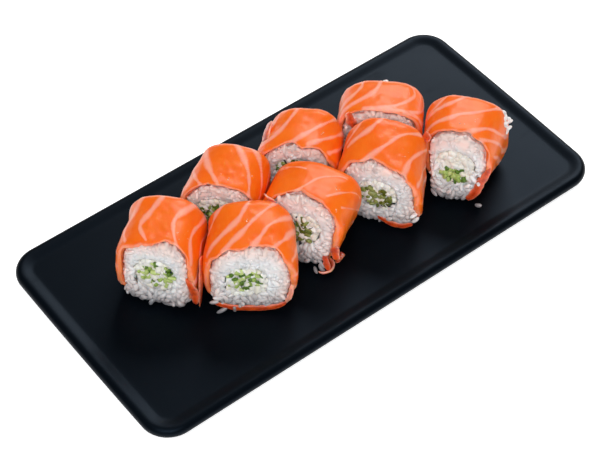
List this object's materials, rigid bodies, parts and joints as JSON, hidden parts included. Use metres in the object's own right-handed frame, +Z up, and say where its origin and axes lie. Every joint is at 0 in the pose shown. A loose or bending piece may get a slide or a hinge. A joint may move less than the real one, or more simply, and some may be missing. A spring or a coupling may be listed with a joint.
{
  "type": "maki sushi rolls on a plate",
  "caption": "Salmon-wrapped maki rolls with rice, soft cheese and cucumber, lying cut side forward in two staggered rows on a black rectangular plate.",
  "frame": {"origin": "centre of the plate's foot, on the surface it stands on", "axes": "+X along the plate, +Z up, +Y across it; the rolls' front cuts face towards -X and -Y"},
  "size_m": [0.261, 0.128, 0.0513],
  "materials": {
    "glaze": "black satin glaze with a bluish sheen and a glossy rim",
    "salmon": "raw salmon, orange with pale fat lines, moist and translucent",
    "rice": "cooked short-grain rice, pinkish white, translucent, slightly moist",
    "cheese": "soft white cheese, creamy and uneven",
    "cucumber": "chopped green cucumber, moist, darker at the skin",
    "nori": "dark navy flecks of seaweed"
  },
  "bodies": {
    "root": {"plate": "glaze", "salmon_1": "salmon", "rice_1": "rice", "cheese_1": "cheese", "cucumber_1": "cucumber", "salmon_2": "salmon", "rice_2": "rice", "cheese_2": "cheese", "cucumber_2": "cucumber", "salmon_3": "salmon", "rice_3": "rice", "cheese_3": "cheese", "cucumber_3": "cucumber", "salmon_4": "salmon", "rice_4": "rice", "cheese_4": "cheese", "cucumber_4": "cucumber", "salmon_5": "salmon", "rice_5": "rice", "cheese_5": "cheese", "cucumber_5": "cucumber", "salmon_6": "salmon", "rice_6": "rice", "cheese_6": "cheese", "cucumber_6": "cucumber", "salmon_7": "salmon", "rice_7": "rice", "cheese_7": "cheese", "cucumber_7": "cucumber", "salmon_8": "salmon", "rice_8": "rice", "cheese_8": "cheese", "cucumber_8": "cucumber", "salmon_curl": "salmon", "salmon_flap": "salmon"}
  },
  "joints": []
}
